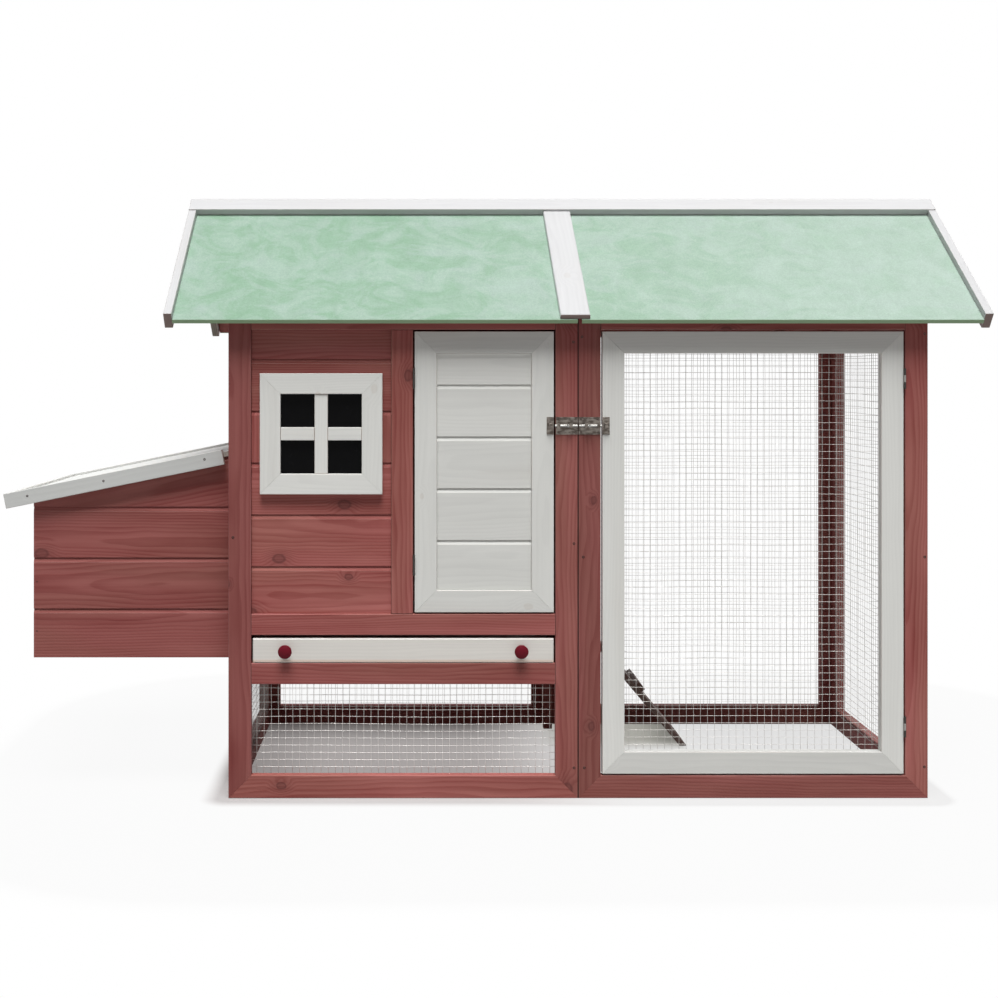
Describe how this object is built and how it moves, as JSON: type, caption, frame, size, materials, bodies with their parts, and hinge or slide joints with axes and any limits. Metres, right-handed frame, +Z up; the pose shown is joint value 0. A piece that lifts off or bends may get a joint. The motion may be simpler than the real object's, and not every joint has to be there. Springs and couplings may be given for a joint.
{
  "type": "chicken coop",
  "caption": "Wooden chicken coop: boarded hen house and mesh run under one felted gable roof, with nest box, hinged doors, dropping tray and ramp.",
  "frame": {"origin": "ground level under the middle of the coop's bounding box", "axes": "+X along the coop from the nest box to the run, +Y from front to back, +Z up"},
  "size_m": [1.922, 0.666, 1.2022],
  "materials": {
    "red_wood": "red-brown stained softwood",
    "white_wood": "off-white painted softwood",
    "zinc_steel": "galvanised steel",
    "green_felt": "mint green mineral-faced bitumen felt",
    "dark_pane": "dark acrylic pane",
    "red_knob": "turned wood, dark red"
  },
  "bodies": {
    "coop": {"barge_boards": "white_wood", "bolt_plates": "zinc_steel", "divider_boards": "red_wood", "divider_frame": "red_wood", "gable_boards": "red_wood", "gable_rafters": "red_wood", "hinge_frame_leaves": "zinc_steel", "house_back_boards": "red_wood", "house_back_frame": "red_wood", "house_back_mesh": "zinc_steel", "house_front_boards": "red_wood", "house_front_mesh": "zinc_steel", "house_front_mullion": "red_wood", "house_front_posts": "red_wood", "house_front_rails": "red_wood", "house_side_boards": "red_wood", "house_side_frame": "red_wood", "house_side_mesh": "zinc_steel", "nest_end_wall": "red_wood", "nest_floor": "red_wood", "nest_partition": "red_wood", "nest_side_walls": "red_wood", "perch_brackets": "red_wood", "ridge_beam": "red_wood", "ridge_caps": "white_wood", "roof_boards": "red_wood", "roof_felt": "green_felt", "roof_joint_battens": "white_wood", "roost_perch": "red_wood", "run_back_frame": "red_wood", "run_back_mesh": "zinc_steel", "run_front_frame": "red_wood", "run_side_frame": "red_wood", "run_side_mesh": "zinc_steel", "tray_rails": "red_wood", "tray_runners": "red_wood", "window_frame": "white_wood", "window_muntins": "white_wood", "window_pane": "dark_pane"},
    "house_door": {"house_door_frame": "white_wood", "house_door_boards": "white_wood", "house_door_hinge_leaves": "zinc_steel", "house_door_keeper": "zinc_steel"},
    "run_door": {"run_door_frame": "white_wood", "run_door_mesh": "zinc_steel", "run_door_hinge_leaves": "zinc_steel", "run_door_keeper": "zinc_steel"},
    "nest_lid": {"nest_lid_board": "white_wood", "nest_lid_trims": "white_wood", "nest_lid_hinge_leaves": "zinc_steel"},
    "tray": {"tray_pan": "zinc_steel", "tray_front": "white_wood", "tray_knobs": "red_knob"},
    "ramp": {"ramp_board": "red_wood", "ramp_cleats": "red_wood", "ramp_hinge_leaves": "zinc_steel"},
    "house_bolt": {"house_door_bolt": "zinc_steel"},
    "run_bolt": {"run_door_bolt": "zinc_steel"}
  },
  "joints": [
    {"name": "house_door_swing", "type": "hinge", "parent": "coop", "child": "house_door", "pos_m": [-0.15143, -0.2976, 0.635], "axis": [0, 0, -1], "range_deg": [0, 170]},
    {"name": "run_door_swing", "type": "hinge", "parent": "coop", "child": "run_door", "pos_m": [0.80237, -0.2976, 0.478], "axis": [0, 0, 1], "range_deg": [0, 170]},
    {"name": "nest_lid_lift", "type": "hinge", "parent": "coop", "child": "nest_lid", "pos_m": [-0.51453, 0, 0.676], "axis": [0, 1, 0], "range_deg": [0, 75]},
    {"name": "tray_slide", "type": "slide", "parent": "coop", "child": "tray", "axis": [0, -1, 0], "range_m": [0, 0.45]},
    {"name": "ramp_lift", "type": "hinge", "parent": "coop", "child": "ramp", "pos_m": [0.17047, 0.157, 0.34], "axis": [0, -1, 0], "range_deg": [0, 135]},
    {"name": "house_bolt_slide", "type": "slide", "parent": "coop", "child": "house_bolt", "axis": [-1, 0, 0], "range_m": [0, 0.012]},
    {"name": "run_bolt_slide", "type": "slide", "parent": "coop", "child": "run_bolt", "axis": [1, 0, 0], "range_m": [0, 0.012]}
  ]
}
